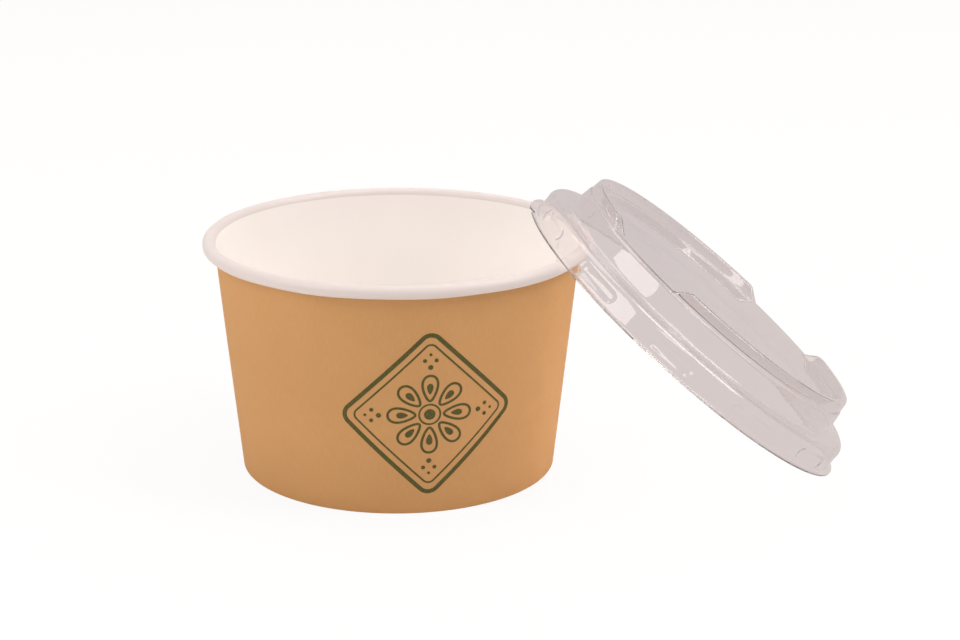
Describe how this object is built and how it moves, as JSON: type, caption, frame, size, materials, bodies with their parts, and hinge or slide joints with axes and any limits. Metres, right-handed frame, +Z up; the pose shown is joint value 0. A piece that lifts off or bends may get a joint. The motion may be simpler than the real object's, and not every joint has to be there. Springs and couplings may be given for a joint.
{
  "type": "paper dessert cup",
  "caption": "Round kraft paper dessert cup with a rolled rim, its clear domed lid taken off and leaning on the rim.",
  "frame": {"origin": "centre of the cup's foot, on the surface that the cup stands on", "axes": "+Z up along the cup's axis, +X towards the leaning lid, -Y towards the printed front"},
  "size_m": [0.1585, 0.0986, 0.0699],
  "materials": {
    "kraft_paper": "matte kraft outside, white coated inside",
    "white_board": "smooth coated",
    "clear_lid": "clear glossy thermoformed sheet"
  },
  "bodies": {
    "root": {"sidewall": "kraft_paper", "base_disc": "white_board", "lid": "clear_lid"}
  },
  "joints": []
}
